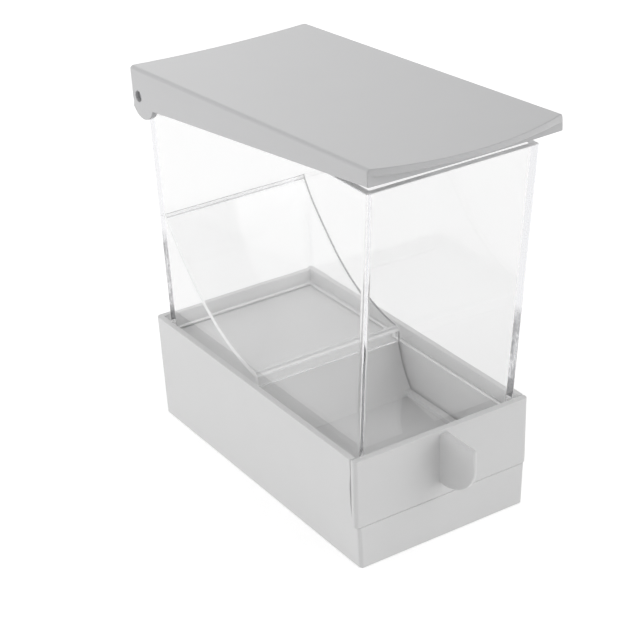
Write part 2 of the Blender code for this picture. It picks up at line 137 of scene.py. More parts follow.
def mouldedPlastic(name, s):
    # ABS, injection moulded with a lightly sparked mould: an even satin skin with a very
    # fine grain that breaks up the gloss
    material, tree = startMaterial(name)
    place = addNode(tree, "ShaderNodeTexCoord").outputs["Object"]
    grain = addNode(tree, "ShaderNodeTexNoise", inputs={
        "Vector": place, "Scale": 1.0 / s["grain"], "Detail": 3.0, "Roughness": 0.55})
    cloud = addNode(tree, "ShaderNodeTexNoise", inputs={
        "Vector": place, "Scale": 1.0 / s["shadeSize"], "Detail": 2.0})
    base = hexToLinear(s["color"])[:3]
    darker = tuple(c * (1.0 - s["shadeSpread"]) for c in base)
    lighter = tuple(min(1.0, c * (1.0 + s["shadeSpread"])) for c in base)
    shade = addNode(tree, "ShaderNodeMix", {"data_type": "RGBA"}, {
        0: cloud.outputs["Fac"], 6: (*darker, 1.0), 7: (*lighter, 1.0)})
    gloss = addNode(tree, "ShaderNodeMapRange", inputs={
        "Value": grain.outputs["Fac"], "To Min": s["roughness"] - s["glossSpread"],
        "To Max": s["roughness"] + s["glossSpread"]})
    bump = addNode(tree, "ShaderNodeBump", inputs={
        "Height": grain.outputs["Fac"], "Distance": s["grainHeight"], "Strength": 1.0})
    shader = addNode(tree, "ShaderNodeBsdfPrincipled", inputs={
        "Base Color": shade.outputs[2], "Roughness": gloss.outputs["Result"],
        "Normal": bump.outputs["Normal"], "IOR": s["ior"]})
    addNode(tree, "ShaderNodeOutputMaterial", inputs={"Surface": shader.outputs["BSDF"]})
    return material


def polishedSkin(tree, s, place):
    # smooth and water clear, with the slow waves that the melt leaves
    flow = addNode(tree, "ShaderNodeTexNoise", inputs={
        "Vector": place, "Scale": 1.0 / s["flowSize"], "Detail": 1.0}).outputs["Fac"]
    bump = addNode(tree, "ShaderNodeBump", inputs={
        "Height": flow, "Distance": s["flowHeight"], "Strength": 1.0})
    smear = addNode(tree, "ShaderNodeMapRange", inputs={
        "Value": flow, "To Min": s["roughness"], "To Max": s["roughness"] + s["flowSmear"]})
    return addNode(tree, "ShaderNodeBsdfPrincipled", inputs={
        "Base Color": hexToLinear(s["color"]), "Roughness": smear.outputs["Result"],
        "Normal": bump.outputs["Normal"], "IOR": s["ior"],
        "Transmission Weight": 1.0}).outputs["BSDF"]


def caughtLight(tree, s, place, untinted):
    # light that is caught in a wall passes on with a painted grey shade that darkens its edges
    # a little; low down, painted grey streaks of shade stand for the darker light from the grey
    # base
    # caught light takes the painted edge shade; light for lighting and shadow rays passes white
    passColor = addNode(tree, "ShaderNodeMix", {"data_type": "RGBA"}, {
        0: untinted, 6: hexToLinear(s["edgeShadeColor"]), 7: hexToLinear(s["passColor"])})
    passing = addNode(tree, "ShaderNodeBsdfTransparent", inputs={"Color": passColor.outputs[2]})
    height = addNode(tree, "ShaderNodeSeparateXYZ", inputs={"Vector": place})
    low = addNode(tree, "ShaderNodeMapRange", inputs={
        "Value": height.outputs["Z"], "From Min": s["lowFull"], "From Max": s["lowNone"],
        "To Min": 1.0, "To Max": 0.0})
    strokes = addNode(tree, "ShaderNodeTexNoise", inputs={
        "Vector": place, "Scale": 1.0 / s["stroke"], "Detail": 1.0, "Distortion": 1.5})
    streak = addNode(tree, "ShaderNodeMapRange", inputs={
        "Value": strokes.outputs["Fac"], "From Min": s["strokeFrom"], "From Max": s["strokeTo"],
        "To Min": s["strokeLeast"], "To Max": s["strokeMost"]})
    tinted = addNode(tree, "ShaderNodeMath", {"operation": "SUBTRACT", "use_clamp": True}, {
        0: low.outputs["Result"], 1: untinted})
    greyShare = addNode(tree, "ShaderNodeMath", {"operation": "MULTIPLY"}, {
        0: tinted.outputs["Value"], 1: streak.outputs["Result"]})
    # painted shade: grey streaks low in the walls, lit from both sides
    near = addNode(tree, "ShaderNodeBsdfDiffuse", inputs={"Color": hexToLinear(s["lowShadeColor"])})
    far = addNode(tree, "ShaderNodeBsdfTranslucent", inputs={"Color": hexToLinear(s["lowShadeColor"])})
    grey = addNode(tree, "ShaderNodeMixShader", inputs={
        0: s["farShare"], 1: near.outputs["BSDF"], 2: far.outputs["BSDF"]})
    return addNode(tree, "ShaderNodeMixShader", inputs={
        0: greyShare.outputs["Value"], 1: passing.outputs["BSDF"],
        2: grey.outputs["Shader"]}).outputs["Shader"]


def frosted(tree, s, clear):
    # an edge is frosted white from outside; seen through the clear sheet it can take a painted
    # darker shade
    side = addNode(tree, "ShaderNodeNewGeometry")
    # the back side takes the painted inner shade
    tone = addNode(tree, "ShaderNodeMix", {"data_type": "RGBA"}, {
        0: side.outputs["Backfacing"], 6: hexToLinear(s["outerColor"]),
        7: hexToLinear(s["innerShadeColor"])})
    skin = addNode(tree, "ShaderNodeBsdfPrincipled", inputs={
        "Base Color": tone.outputs[2], "Roughness": s["frostRoughness"], "IOR": s["ior"]})
    return addNode(tree, "ShaderNodeMixShader", inputs={
        0: s["frost"], 1: clear, 2: skin.outputs["BSDF"]}).outputs["Shader"]


def clearPlastic(name, s):
    # Polystyrene, injection moulded in a polished mould: water clear, with bright and dark
    # lines at its edges, the dark ones partly painted shade; light reaches what is inside
    material, tree = startMaterial(name)
    place = addNode(tree, "ShaderNodeTexCoord").outputs["Object"]
    path = addNode(tree, "ShaderNodeLightPath").outputs
    trapped = addNode(tree, "ShaderNodeMath", {"operation": "GREATER_THAN"}, {
        0: path["Glossy Depth"], 1: s["turnsInside"]}).outputs["Value"]
    lighting = addNode(tree, "ShaderNodeMath", {"operation": "MAXIMUM"}, {
        0: path["Is Diffuse Ray"], 1: path["Is Shadow Ray"]}).outputs["Value"]
    untinted = addNode(tree, "ShaderNodeMath", {"operation": "MAXIMUM"}, {
        0: path["Transparent Depth"], 1: lighting}).outputs["Value"]
    straight = addNode(tree, "ShaderNodeMath", {"operation": "MAXIMUM"}, {
        0: trapped, 1: lighting}).outputs["Value"]
    surface = addNode(tree, "ShaderNodeMixShader", inputs={
        0: straight, 1: polishedSkin(tree, s, place),
        2: caughtLight(tree, s, place, untinted)}).outputs["Shader"]
    if s["frost"]:
        surface = frosted(tree, s, surface)
    depth = addNode(tree, "ShaderNodeVolumeAbsorption", inputs={
        "Color": hexToLinear(s["tint"]), "Density": s["density"]})
    addNode(tree, "ShaderNodeOutputMaterial", inputs={
        "Surface": surface, "Volume": depth.outputs["Volume"]})
    return material


def turnedSteel(name, s):
    # Plain steel pin, drawn and cut: dull, with finely worn patches
    material, tree = startMaterial(name)
    place = addNode(tree, "ShaderNodeTexCoord").outputs["Object"]
    wear = addNode(tree, "ShaderNodeTexNoise", inputs={
        "Vector": place, "Scale": 1.0 / s["wear"], "Detail": 2.0})
    gloss = addNode(tree, "ShaderNodeMapRange", inputs={
        "Value": wear.outputs["Fac"], "To Min": s["roughness"] - s["glossSpread"],
        "To Max": s["roughness"] + s["glossSpread"]})
    shader = addNode(tree, "ShaderNodeBsdfPrincipled", inputs={
        "Base Color": hexToLinear(s["color"]), "Roughness": gloss.outputs["Result"],
        "Metallic": 1.0})
    addNode(tree, "ShaderNodeOutputMaterial", inputs={"Surface": shader.outputs["BSDF"]})
    return material


greyAbs = mouldedPlastic("moulded_grey_abs", greySet)
lidAbs = mouldedPlastic("moulded_lid_abs", lidGreySet)
clearStyrene = clearPlastic("clear_polystyrene", clearSet)
rimStyrene = clearPlastic("polystyrene_rim", rimSet)
bendStyrene = clearPlastic("polystyrene_bend", bendSet)
cutStyrene = clearPlastic("polystyrene_cut_edge", cutEdgeSet)
pinSteel = turnedSteel("pin_steel", pinSet)
print("materials made")


# Shapes are built in millimetres and turned to metres when a piece is finished
weld = 0.002                                    # corners closer than this become one
hair, touch = 0.1, 0.01                         # how near a place an edge is looked for
flatAngle, sharpAngle, smoothAngle = 0.08, 35.0, 38.0
faceWeight = 80                                 # how far large faces lead the shading
fineSteps, edgeSteps, softSteps, cornerSteps = 2, 3, 4, 6
shortPast, longPast, farPast = 5.0, 10.0, 20.0  # how far a cutter passes what it cuts
cutterHalf = 50.0                               # half width of a cutter across a whole piece
hingeAxis = {"y": 54.4, "z": 109.6}


def block(low, high, lowRect, highRect=None):
    # a block between two heights; a rect is (x min, x max, y min, y max)
    bm = bmesh.new()
    bmesh.ops.create_cube(bm, size=2.0)
    for vert in bm.verts:
        top = vert.co.z > 0
        rect = (highRect or lowRect) if top else lowRect
        vert.co = (rect[vert.co.x > 0], rect[2 + (vert.co.y > 0)], high if top else low)
    return bm


def onlyVerts(geom):
    return [g for g in geom if isinstance(g, bmesh.types.BMVert)]


def pushedOutline(points, place, push):
    # a flat outline made solid; place turns (a, b) into a point, push is the depth vector
    bm = bmesh.new()
    face = bm.faces.new([bm.verts.new(place(a, b)) for a, b in points])
    grown = bmesh.ops.extrude_face_region(bm, geom=[face])["geom"]
    bmesh.ops.translate(bm, verts=onlyVerts(grown), vec=push)
    bmesh.ops.recalc_face_normals(bm, faces=bm.faces)
    return bm


def arcPoints(centre, radius, start, end, steps):
    turns = [math.radians(start + (end - start) * i / steps) for i in range(steps + 1)]
    return [(centre[0] + radius * math.cos(t), centre[1] + radius * math.sin(t)) for t in turns]


def bezierPoints(start, knee, end, steps):
    curve = []
    for i in range(steps + 1):
        t = i / steps
        curve.append(tuple((1 - t) ** 2 * a + 2 * t * (1 - t) * b + t * t * c
                           for a, b, c in zip(start, knee, end)))
    return curve


def crossRod(radius, lowX, highX, y, z, sides):
    bm = bmesh.new()
    bmesh.ops.create_cone(bm, cap_ends=True, segments=sides, radius1=radius, radius2=radius,
                          depth=highX - lowX)
    bmesh.ops.rotate(bm, verts=bm.verts, cent=(0, 0, 0),
                     matrix=Matrix.Rotation(math.pi / 2, 3, "Y"))
    bmesh.ops.translate(bm, verts=bm.verts, vec=((lowX + highX) / 2, y, z))
    return bm


def joinFlats(bm):
    # faces that lie in one plane become one face
    bmesh.ops.dissolve_limit(bm, angle_limit=math.radians(flatAngle),
                             use_dissolve_boundaries=False, verts=bm.verts, edges=bm.edges)
    return bm


def closeSeams(bm):
    # where a corner lies on an open edge, the edge is split there and both become one
    bmesh.ops.remove_doubles(bm, verts=bm.verts, dist=weld)
    for spot in [v for v in bm.verts if v.is_boundary]:
        for edge in [e for e in bm.edges if e.is_boundary and spot not in e.verts]:
            start, end = edge.verts[0].co, edge.verts[1].co
            line = end - start
            share = (spot.co - start).dot(line) / line.length_squared
            if 0 < share < 1 and (start + line * share - spot.co).length < weld:
                bmesh.utils.edge_split(edge, edge.verts[0], share)
                break
    bmesh.ops.remove_doubles(bm, verts=bm.verts, dist=weld)


def combine(first, second, operation):
    # exact Boolean of two closed shapes, cleaned of the seams it leaves in flat faces
    items = []
    for bm in (first, second):
        mesh = bpy.data.meshes.new("step")
        bm.to_mesh(mesh)
        bm.free()
        items.append(bpy.data.objects.new("step", mesh))
        bpy.context.scene.collection.objects.link(items[-1])
    step = items[0].modifiers.new("step", "BOOLEAN")
    step.operation, step.solver, step.object = operation, "EXACT", items[1]
    bpy.context.view_layer.update()
    solved = bpy.data.meshes.new_from_object(
        items[0].evaluated_get(bpy.context.evaluated_depsgraph_get()))
    result = bmesh.new()
    result.from_mesh(solved)
    for item in items:
        mesh = item.data
        bpy.data.objects.remove(item)
        bpy.data.meshes.remove(mesh)
    bpy.data.meshes.remove(solved)
    bmesh.ops.remove_doubles(result, verts=result.verts, dist=weld)
    return joinFlats(result)


def cut(bm, cutter):
    return combine(bm, cutter, "DIFFERENCE")


def add(bm, other):
    return combine(bm, other, "UNION")


def roundEdges(bm, radius, steps, chosen=None):
    # rounds the sharp edges that the test keeps
    edges = [e for e in bm.edges if len(e.link_faces) == 2
             and e.calc_face_angle(0.0) > math.radians(sharpAngle)
             and (chosen is None or chosen(e))]
    bmesh.ops.bevel(bm, geom=edges, offset=radius, offset_type="OFFSET", segments=steps,
                    profile=0.5, affect="EDGES", clamp_overlap=False, material=-1)
    return bm


def middle(edge):
    return (edge.verts[0].co + edge.verts[1].co) / 2


def runs(edge, axis):
    # whether an edge runs nearly along "x", "y" or "z"
    way = (edge.verts[1].co - edge.verts[0].co).normalized()
    return abs(getattr(way, axis)) > 0.9


def finishPiece(name, bm, materials, body, nodes):
    closeSeams(bm)
    bmesh.ops.recalc_face_normals(bm, faces=bm.faces)
    bmesh.ops.scale(bm, verts=bm.verts, vec=(mm, mm, mm))
    mesh = bpy.data.meshes.new(name)
    bm.to_mesh(mesh)
    bm.free()
    mesh.shade_smooth()
    mesh.set_sharp_from_angle(angle=math.radians(smoothAngle))
    for material in materials:
        mesh.materials.append(material)
    piece = bpy.data.objects.new(name, mesh)
    bpy.context.scene.collection.objects.link(piece)
    weights = piece.modifiers.new("flat_faces_lead", "WEIGHTED_NORMAL")
    weights.keep_sharp = True
    weights.weight = faceWeight
    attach(piece, body)
    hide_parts(*nodes)
    print("made", name, len(mesh.polygons), "faces")


# Base: one moulding, open at the front for the drawer
baseSet = {
    "halfWidth": 30.75, "front": -55.05, "rear": 55.0, "height": 35.5, "draft": 1.4,
    "corner": 1.2, "floor": 2.0, "rimHalf": 28.75, "rimRear": 53.0, "seatHeight": 31.1,
    "bayHalf": 26.55, "bayRear": 50.8, "railHeight": 13.7, "railHalf": 24.25,
    "cheekFront": -52.3, "cheekBow": 0.8, "bowSteps": 12, "cavityFront": -52.6,
    "ribRear": 1.2, "ribThickness": 1.6, "ribTop": 13.1, "ribBite": 1.0, "edge": 0.3,
}


def makeBase(s):
    foot, half = s["halfWidth"] - s["draft"], s["halfWidth"]
    seat, rail = s["seatHeight"], s["railHeight"]
    bm = block(0.0, s["height"], (-foot, foot, s["front"], s["rear"]),
               (-half, half, s["front"], s["rear"]))
    roundEdges(bm, s["corner"], cornerSteps, lambda e: runs(e, "z"))
    past = s["height"] + longPast
    ahead = s["front"] - longPast
    bm = cut(bm, block(seat, past, (-s["rimHalf"], s["rimHalf"], ahead, s["rimRear"])))
    bm = cut(bm, block(rail, past, (-s["bayHalf"], s["bayHalf"], ahead, s["bayRear"])))

    # the seats for the side walls' front ends are bowed
    bowed = [(ahead, rail), (ahead, past), (s["cheekFront"], past)]
    for i in range(s["bowSteps"] + 1):
        share = 1 - i / s["bowSteps"]
        bowed.append((s["cheekFront"] + s["cheekBow"] * 4 * share * (1 - share),
                      rail + (seat - rail) * share))
    bm = cut(bm, pushedOutline(bowed, lambda y, z: (-cutterHalf, y, z),
                               (2 * cutterHalf, 0.0, 0.0)))

    # room under the drawer, with the rib that stops it
    bm = cut(bm, block(s["floor"], rail + shortPast,
                       (-s["railHalf"], s["railHalf"], s["cavityFront"], s["bayRear"])))
    ribHalf = s["railHalf"] + s["ribBite"]
    bm = add(bm, block(s["floor"] / 2, s["ribTop"],
                       (-ribHalf, ribHalf, s["ribRear"] - s["ribThickness"], s["ribRear"])))
    roundEdges(bm, s["edge"], edgeSteps)
    finishPiece("base_moulding", bm, [greyAbs], "housing", ["base_housing"])


# Drawer: front panel with its pull tab, the well, and the closing plate behind it
drawerSet = {
    "halfWidth": 25.95, "low": 14.0, "floor": 15.2, "rear": 50.0, "plateTop": 31.0,
    "plateFront": 4.0, "plateThickness": 1.5, "wall": 1.8, "slopeRun": 8.0, "slopeSag": 1.6,
    "slopeSteps": 14, "rearWallFront": 48.5, "lipHalf": 23.95, "lipLow": 9.0, "lipBite": 1.0,
    "lipInset": 0.3, "panelHalf": 30.75, "panelFront": -54.75, "panelBack": -52.6,
    "panelLow": 13.72, "panelDraft": 0.12, "panelCorner": 1.2, "panelTop": 35.5,
    "ribLow": 0.3, "ribRise": 1.5, "ribRear": 1.9, "ribFront": 3.1, "ribInset": 0.02,
    "edge": 0.3, "lowEdge": 0.02, "plateEdge": 0.5, "rearEdge": 0.25,
}
tabSet = {
    "reach": 14.4, "topDrop": 1.1, "topRise": 0.8, "nose": 1.0, "straight": 5.0, "round": 12.4,
    "roundDrop": 11.0, "rootThickness": 3.0, "tipThickness": 1.3, "edge": 0.45,
    "noseSteps": 5, "roundSteps": 24,
}


def wellSlope(s, shift=0.0):
    # the well's hollow back, from the closing plate down to the drawer's floor
    top = (s["plateFront"] + shift, s["plateTop"])
    foot = (s["plateFront"] - s["slopeRun"] + shift, s["floor"])
    knee = ((top[0] + foot[0]) / 2 + s["slopeSag"], (top[1] + foot[1]) / 2 - s["slopeSag"])
    return bezierPoints(top, knee, foot, s["slopeSteps"])


def makeTab(s, d):
    topZ = d["panelTop"] - s["topDrop"]
    tipY, tipZ = d["panelFront"] - s["reach"], topZ + s["topRise"]
    roundZ = tipZ - s["nose"] - s["straight"]
    rootY = (d["panelFront"] + d["panelBack"]) / 2
    line = [(rootY, topZ)]
    line += arcPoints((tipY + s["nose"], tipZ - s["nose"]), s["nose"], 90, 180,
                      s["noseSteps"])
    line += [(tipY + s["round"] + s["round"] * a, roundZ + s["roundDrop"] * b)
             for a, b in arcPoints((0, 0), 1.0, 180, 270, s["roundSteps"])]
    line.append((rootY, roundZ - s["roundDrop"]))
    bm = pushedOutline(line, lambda y, z: (-0.5, y, z), (1.0, 0.0, 0.0))
    for vert in bm.verts:
        share = min(max((d["panelFront"] - vert.co.y) / s["reach"], 0.0), 1.0)
        vert.co.x *= s["rootThickness"] + (s["tipThickness"] - s["rootThickness"]) * share
    return roundEdges(bm, s["edge"], softSteps,
                      lambda e: not runs(e, "x") and middle(e).y < rootY - hair)


def makeWellRib(s, side, front, rear):
    # low rib along the well's side, wider at the front
    rib = block(s["low"] + s["ribLow"], s["floor"] + s["ribRise"], (-1.0, 1.0, front, rear))
    outer = s["halfWidth"] - s["ribInset"]
    for vert in rib.verts:
        width = s["ribRear"] if vert.co.y > 0.5 * (front + rear) else s["ribFront"]
        vert.co.x = side * (outer if vert.co.x * side > 0 else outer - width)
    bmesh.ops.recalc_face_normals(rib, faces=rib.faces)
    topZ = s["floor"] + s["ribRise"]
    return roundEdges(rib, s["edge"], edgeSteps,
                      lambda e: runs(e, "y") and middle(e).z > topZ - hair)


def makePanel(s):
    foot, half = s["panelHalf"] - s["panelDraft"], s["panelHalf"]
    panel = block(s["panelLow"], s["panelTop"], (-foot, foot, s["panelFront"], s["panelBack"]),
                  (-half, half, s["panelFront"], s["panelBack"]))
    roundEdges(panel, s["panelCorner"], cornerSteps,
               lambda e: runs(e, "z") and middle(e).y < s["panelFront"] + hair)
    roundEdges(panel, s["edge"], edgeSteps, lambda e: middle(e).z > s["panelTop"] - hair
               or middle(e).y > s["panelBack"] - hair)
    return roundEdges(panel, s["lowEdge"], fineSteps, lambda e: middle(e).z < s["panelLow"] + touch)


def makeDrawer(s, t):
    inside = (s["panelFront"] + s["panelBack"]) / 2
    half, plateTop = s["halfWidth"], s["plateTop"]
    line = [(inside, s["low"]), (s["rear"], s["low"]), (s["rear"], plateTop)]
    line += wellSlope(s) + [(inside, s["floor"])]
    bm = pushedOutline(line, lambda y, z: (-half, y, z), (2 * half, 0.0, 0.0))
    roundEdges(bm, s["plateEdge"], softSteps, lambda e: runs(e, "x")
               and middle(e).z > plateTop - hair and middle(e).y < s["plateFront"] + hair)

    # hollow under the closing plate, open below
    under, below = plateTop - s["plateThickness"], s["low"] - shortPast
    back = [spot for spot in wellSlope(s, s["wall"]) if spot[1] < under]
    hollow = [(s["rearWallFront"], below), (s["rearWallFront"], under), (back[0][0], under)]
    hollow += back + [(back[-1][0], below)]
    inner = half - s["wall"]
    bm = cut(bm, pushedOutline(hollow, lambda y, z: (-inner, y, z), (2 * inner, 0.0, 0.0)))
    bm = add(bm, block(s["lipLow"], s["floor"] + s["lipBite"],
                       (-s["lipHalf"], s["lipHalf"], s["rearWallFront"],
                        s["rear"] - s["lipInset"])))
    roundEdges(bm, s["rearEdge"], fineSteps, lambda e: middle(e).z > plateTop - 2 * hair
               and abs(middle(e).y - s["rear"]) < hair)
    for side in (-1, 1):
        bm = add(bm, makeWellRib(s, side, inside, s["plateFront"] - s["slopeRun"] / 2))
    bm = add(bm, makePanel(s))
    bm = add(bm, makeTab(t, s))
    finishPiece("drawer_moulding", bm, [greyAbs], "drawer", ["drawer"])


# Hopper: four clear walls, wider at the top
hopperSet = {
    "rim": 35.5, "rise": 81.1, "low": 31.4, "wall": 2.1, "corner": 1.0, "innerCorner": 0.5,
    "halfAtRim": 27.45, "frontAtRim": -52.3, "rearAtRim": 52.2, "sideFlare": 0.95,
    "frontFlare": 6.8, "rearFlare": 4.3, "rearTopDrop": 2.0, "stepAhead": 0.8, "edge": 0.3,
    "shankHole": 1.1, "holeEnd": 0.7, "holeSides": 32, "facesUp": 0.3, "facesDown": -0.2,
}


def hopperRect(s, z, inset=0.0):
    # the hopper's outline at a height, or its inner one
    share = (z - s["rim"]) / s["rise"]
    side = s["halfAtRim"] + s["sideFlare"] * share - inset
    return (-side, side, s["frontAtRim"] - s["frontFlare"] * share + inset,
            s["rearAtRim"] + s["rearFlare"] * share - inset)


def makeHopper(s):
    low, top, wall = s["low"], s["rim"] + s["rise"], s["wall"]
    outer = block(low, top, hopperRect(s, low), hopperRect(s, top))
    below, above = low - shortPast, top + shortPast
    inner = block(below, above, hopperRect(s, below, wall), hopperRect(s, above, wall))
    for shell, corner in ((outer, s["corner"]), (inner, s["innerCorner"])):
        roundEdges(shell, corner, cornerSteps, lambda e: runs(e, "z"))
    bm = cut(outer, inner)
    stepFront = hopperRect(s, top, wall)[3] - s["stepAhead"]
    stepRear = hopperRect(s, top, wall)[3] + farPast
    rearTop = top - s["rearTopDrop"]
    bm = cut(bm, block(rearTop, above, (-cutterHalf, cutterHalf, stepFront, stepRear)))
    roundEdges(bm, s["edge"], edgeSteps, lambda e: not runs(e, "z"))
    innerWall = hopperRect(s, hingeAxis["z"], wall)[1]
    for side in (-1, 1):
        ends = sorted((side * (innerWall + s["holeEnd"]), side * (innerWall + longPast)))
        bm = cut(bm, crossRod(s["shankHole"], *ends, hingeAxis["y"], hingeAxis["z"],
                              s["holeSides"]))
    for face in bm.faces:
        height = face.calc_center_median().z
        if (face.normal.z > s["facesUp"] and height > rearTop - s["edge"]
                or face.normal.z < s["facesDown"] and height < low + s["edge"]):
            face.material_index = 1
    finishPiece("hopper_moulding", bm, [clearStyrene, rimStyrene], "housing",
                ["hopper"])


# Ramp: a bent clear sheet that the pads slide down, ending in an upright lip
rampSet = {
    "topZ": 70.9, "thickness": 1.8, "flange": 0.6, "lipY": 1.6, "lipLow": 31.9, "lipTop": 36.9,
    "lipRadius": 2.3, "kneeRun": 25.5, "kneeRise": 3.6, "gap": 0.3, "edge": 0.15,
    "curveSteps": 48, "lipSteps": 8, "facesSide": 0.5, "bendFrom": 0.35, "bendTo": 0.98,
    "facesDown": -0.3,
}


def makeRamp(s, h):
    wallY = hopperRect(h, s["topZ"], h["wall"])[3]
    end = (s["lipY"] + s["lipRadius"], s["lipTop"])
    line = [(wallY - s["gap"], s["topZ"])]
    line += bezierPoints((wallY - s["flange"], s["topZ"]),
                         (end[0] + s["kneeRun"], s["lipTop"] + s["kneeRise"]), end,
                         s["curveSteps"])
    line += arcPoints((end[0], s["lipTop"] - s["lipRadius"]), s["lipRadius"], 90, 180,
                      s["lipSteps"])[1:]
    line.append((s["lipY"], s["lipLow"]))
    bm = bmesh.new()
    spots = [bm.verts.new((-1.0, y, z)) for y, z in line]
    strip = [bm.edges.new(pair) for pair in zip(spots, spots[1:])]
    grown = bmesh.ops.extrude_edge_only(bm, edges=strip)["geom"]
    bmesh.ops.translate(bm, verts=onlyVerts(grown), vec=(2.0, 0.0, 0.0))
    bmesh.ops.recalc_face_normals(bm, faces=bm.faces)
    if sum(f.normal.z * f.calc_area() for f in bm.faces) < 0:
        bmesh.ops.reverse_faces(bm, faces=bm.faces)
    bmesh.ops.solidify(bm, geom=bm.faces, thickness=s["thickness"])
    for vert in bm.verts:
        vert.co.x *= hopperRect(h, vert.co.z, h["wall"])[1] - s["gap"]
    bmesh.ops.recalc_face_normals(bm, faces=bm.faces)
    roundEdges(bm, s["edge"], fineSteps)
    for face in bm.faces:
        tilt = face.normal.z
        if abs(face.normal.x) > s["facesSide"]:
            face.material_index = 1
        elif face.calc_center_median().y < end[0] and (
                s["bendFrom"] < tilt < s["bendTo"] or tilt < s["facesDown"]):
            face.material_index = 2
    finishPiece("ramp_sheet", bm, [clearStyrene, cutStyrene, bendStyrene], "housing",
                ["ramp"])


# Lid: dished plate with skirts, hinge ears and a bowed finger lip; sizes from the hinge axis
lidSet = {
    "half": 31.75, "top": 8.9, "rear": 4.55, "front": -118.95, "dish": 0.8, "plate": 1.4,
    "skirt": 2.0, "frontDepth": 4.9, "skirtDepth": 11.9, "earRadius": 6.6, "earDrop": 9.1,
    "bow": 5.6, "lipDepth": 2.4, "sideEdge": 1.2, "rearCorner": 1.5, "edge": 0.3,
    "lipEdge": 0.4, "innerEdge": 0.25, "cornerLedge": 0.12, "holeRadius": 1.75,
    "holeEdge": 0.15, "holeSides": 48, "ajar": 3.6, "across": 32, "acrossInside": 30,
    "earSteps": 24, "below": -30.0, "nearRear": 0.5, "nearTop": 1.0, "nearFront": 0.5,
    "pastFront": 1.0, "holeBite": 0.7,
}


def dishAt(s, x):
    return s["dish"] * ((x / s["half"]) ** 2 - 1)


def pushUp(bm, s, height):
    # a flat sheet made solid, up to the dished height
    grown = bmesh.ops.extrude_face_region(bm, geom=list(bm.faces))["geom"]
    for vert in onlyVerts(grown):
        vert.co.z = height + dishAt(s, vert.co.x)
    bmesh.ops.recalc_face_normals(bm, faces=bm.faces)


def makeLidBlock(s):
    # solid block: lower side first, then pushed up to the dished top
    half, top, low = s["half"], s["top"], s["top"] - s["frontDepth"]
    earY, earZ = s["rear"] - s["earRadius"], top - s["earDrop"]
    meet = 180 - math.degrees(math.asin((earZ - top + s["skirtDepth"]) / s["earRadius"]))
    lowLine = [(earY + a, earZ + b)
               for a, b in arcPoints((0, 0), s["earRadius"], 0, -meet, s["earSteps"])]
    lowLine.append((s["front"], low))
    last = len(lowLine) - 1
    bowRadius = (half ** 2 + s["bow"] ** 2) / (2 * s["bow"])

    def bowAt(x):
        ledge = s["cornerLedge"] * (1 - abs(x) / half)
        return math.sqrt(bowRadius ** 2 - x ** 2) - (bowRadius - s["bow"] + ledge)

    bm = bmesh.new()
    bmesh.ops.create_grid(bm, x_segments=s["across"], y_segments=last, size=1.0)
    for vert in bm.verts:
        x = vert.co.x * half
        row = round((1 - vert.co.y) / 2 * last)
        y, z = lowLine[row]
        vert.co = (x, y - (bowAt(x) + s["cornerLedge"] if row == last else 0.0), z)
    pushUp(bm, s, top)
    joinFlats(bm)
    nearTop = top - s["nearTop"]
    roundEdges(bm, s["rearCorner"], cornerSteps, lambda e: runs(e, "z") and middle(e).y > 0)
    roundEdges(bm, s["sideEdge"], cornerSteps, lambda e: middle(e).z > nearTop
               and (middle(e).y > s["front"] + s["pastFront"] or runs(e, "y")))
    roundEdges(bm, s["lipEdge"], softSteps, lambda e: middle(e).z > low + hair
               and middle(e).y < s["front"] + s["nearFront"])
    roundEdges(bm, s["edge"], edgeSteps, lambda e: middle(e).z < low + hair)
    return bm


def makeLidHollow(s, inner):
    hollow = bmesh.new()
    bmesh.ops.create_grid(hollow, x_segments=s["acrossInside"], y_segments=1, size=1.0)
    for vert in hollow.verts:
        y = s["front"] + s["skirt"] if vert.co.y < 0 else farPast
        vert.co = (vert.co.x * inner, y, s["below"])
    pushUp(hollow, s, s["top"] - s["plate"])
    return hollow


def makeLid(s):
    half, top, front = s["half"], s["top"], s["front"]
    inner, lipLow = half - s["skirt"], top - s["lipDepth"]
    bm = cut(makeLidBlock(s), makeLidHollow(s, inner))

    # room under the finger lip
    bm = cut(bm, block(s["below"], lipLow, (-cutterHalf, cutterHalf, front - farPast, front)))
    roundEdges(bm, s["lipEdge"], softSteps, lambda e: abs(middle(e).z - lipLow) < touch
               and middle(e).y < front - 2 * s["lipEdge"])
    roundEdges(bm, s["edge"], edgeSteps, lambda e: runs(e, "z") and abs(middle(e).y - front) < touch
               and middle(e).z < lipLow)
    roundEdges(bm, s["innerEdge"], fineSteps, lambda e: e.is_convex
               and middle(e).y < s["rear"] - s["nearRear"]
               and (abs(abs(middle(e).x) - inner) < touch
                    or abs(middle(e).y - front - s["skirt"]) < touch))

    # holes for the pins, round the hinge axis
    for side in (-1, 1):
        ends = sorted((side * (inner - s["holeBite"]), side * (half + longPast)))
        bm = cut(bm, crossRod(s["holeRadius"], *ends, 0.0, 0.0, s["holeSides"]))
    roundEdges(bm, s["holeEdge"], fineSteps, lambda e: abs(abs(middle(e).x) - half) < touch
               and math.hypot(middle(e).y, middle(e).z) < s["holeRadius"] + touch)
    for vert in bm.verts:
        vert.co.x = min(max(vert.co.x, -half), half)
    bmesh.ops.rotate(bm, verts=bm.verts, cent=(0, 0, 0),
                     matrix=Matrix.Rotation(math.radians(-s["ajar"]), 3, "X"))
    bmesh.ops.translate(bm, verts=bm.verts, vec=(0.0, hingeAxis["y"], hingeAxis["z"]))
    finishPiece("lid_moulding", bm, [lidAbs], "lid", ["lid"])


# Hinge pins: a head that turns in the lid's ear, a thinner shank in the hopper's wall
pinShape = {
    "headRadius": 1.45, "shankRadius": 0.8, "shankEnd": 27.92, "shoulder": 28.62,
    "headEnd": 30.85, "chamfer": 0.2, "sides": 48,
}


